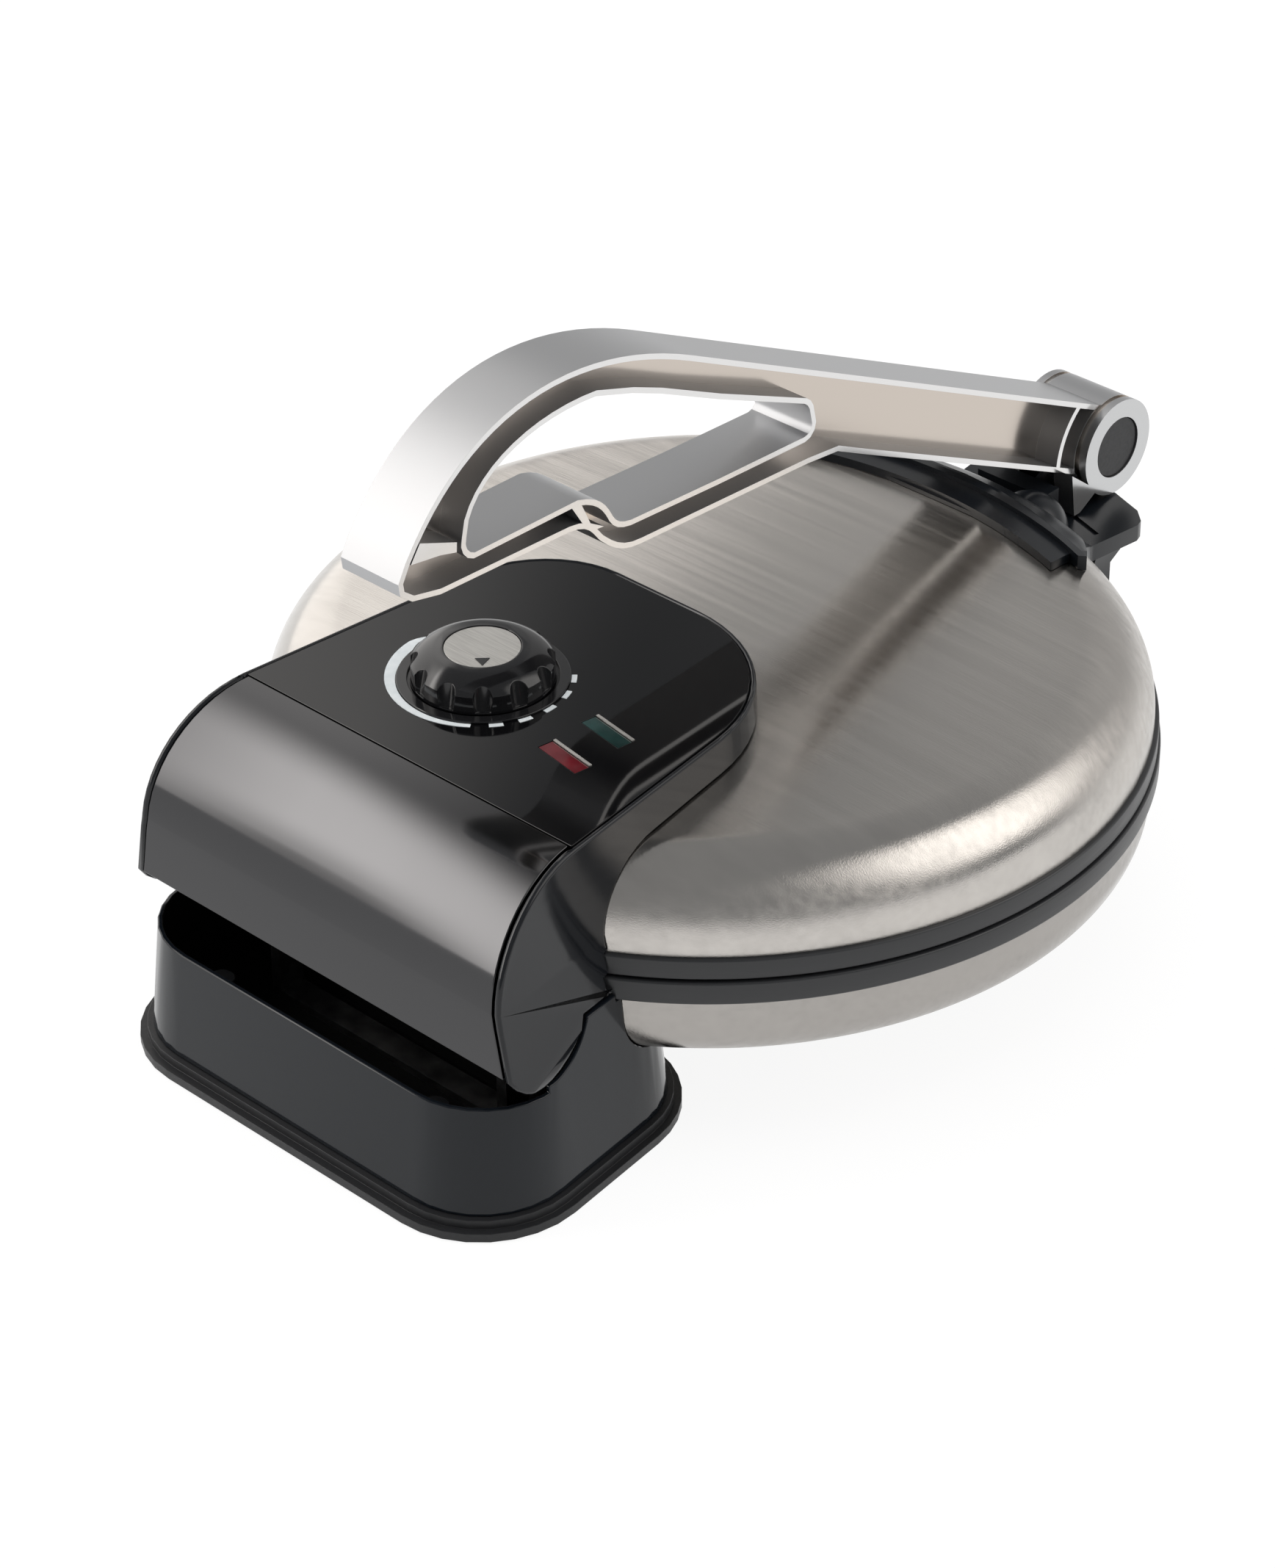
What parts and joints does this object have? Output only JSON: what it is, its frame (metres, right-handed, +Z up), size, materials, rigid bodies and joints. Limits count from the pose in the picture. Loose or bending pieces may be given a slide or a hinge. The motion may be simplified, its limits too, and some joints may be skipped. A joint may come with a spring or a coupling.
{
  "type": "electric roti maker",
  "caption": "Countertop flatbread cooker: two heated round plates in a hinged drum, rear control housing with a turning knob, and a swing-over pressing lever.",
  "frame": {"origin": "on the table, midway across the width and midway between the lever pivot's front end and the base's rear edge", "axes": "+X to the side along the hinge, +Y towards the control housing at the rear, +Z up"},
  "size_m": [0.2816, 0.388, 0.2178],
  "materials": {
    "base_black": "black moulded plastic, semi-matte",
    "housing_black": "black moulded plastic, glossy",
    "rubber_pad": "dark rubber",
    "zinc_steel": "plain zinc-plated steel",
    "white_insulator": "off-white electrical plastic",
    "brushed_shell": "brushed stainless sheet, straight grain across the lid",
    "band_metal": "dark turned rim of the plates",
    "coated_plate": "dark non-stick coating",
    "heater_tube": "dull heater sheath",
    "gunmetal": "dark metallic gloss",
    "panel_black": "black, mirror gloss",
    "white_print": "white print",
    "green_lens": "translucent green lens",
    "red_lens": "translucent red lens",
    "lever_chrome": "satin nickel plate",
    "knob_black": "black, glossy, fluted",
    "cap_metal": "brushed disc"
  },
  "bodies": {
    "base": {"base_plate": "base_black", "rubber_feet": "rubber_pad", "base_screws": "zinc_steel", "base_housing": "housing_black", "hinge_bracket": "zinc_steel", "hinge_pin": "zinc_steel", "cord_gland": "rubber_pad", "terminal_block": "white_insulator", "lower_shell": "brushed_shell", "lower_band": "band_metal", "lower_plate": "coated_plate", "lower_heater": "heater_tube", "front_foot": "base_black", "front_pad": "rubber_pad"},
    "lid": {"lid_shell": "brushed_shell", "lid_band": "band_metal", "upper_plate": "coated_plate", "upper_heater": "heater_tube", "control_housing": "gunmetal", "control_panel": "panel_black", "rear_cover": "gunmetal", "dial_marks": "white_print", "dial_ring": "knob_black", "ready_lens": "green_lens", "power_lens": "red_lens", "lamp_frames": "white_print", "lamp_holder": "white_insulator", "thermostat": "white_insulator", "lid_hinge": "zinc_steel", "hinge_screws": "zinc_steel", "lever_bracket": "housing_black", "pivot_pin": "zinc_steel"},
    "lever": {"lever_handle": "lever_chrome", "pivot_caps": "base_black"},
    "knob": {"knob": "knob_black", "knob_cap": "cap_metal", "knob_pointer": "base_black", "knob_shaft": "zinc_steel"}
  },
  "joints": [
    {"name": "lid_hinge_turn", "type": "hinge", "parent": "base", "child": "lid", "pos_m": [0, 0.159, 0.064], "axis": [-1, 0, 0], "range_deg": [0, 100]},
    {"name": "lever_swing", "type": "hinge", "parent": "lid", "child": "lever", "pos_m": [0, -0.177, 0.0895], "axis": [1, 0, 0], "range_deg": [0, 115]},
    {"name": "knob_turn", "type": "hinge", "parent": "lid", "child": "knob", "pos_m": [0.0145, 0.0905, 0.111], "axis": [0, 0, 1], "range_deg": [-150, 120]}
  ]
}
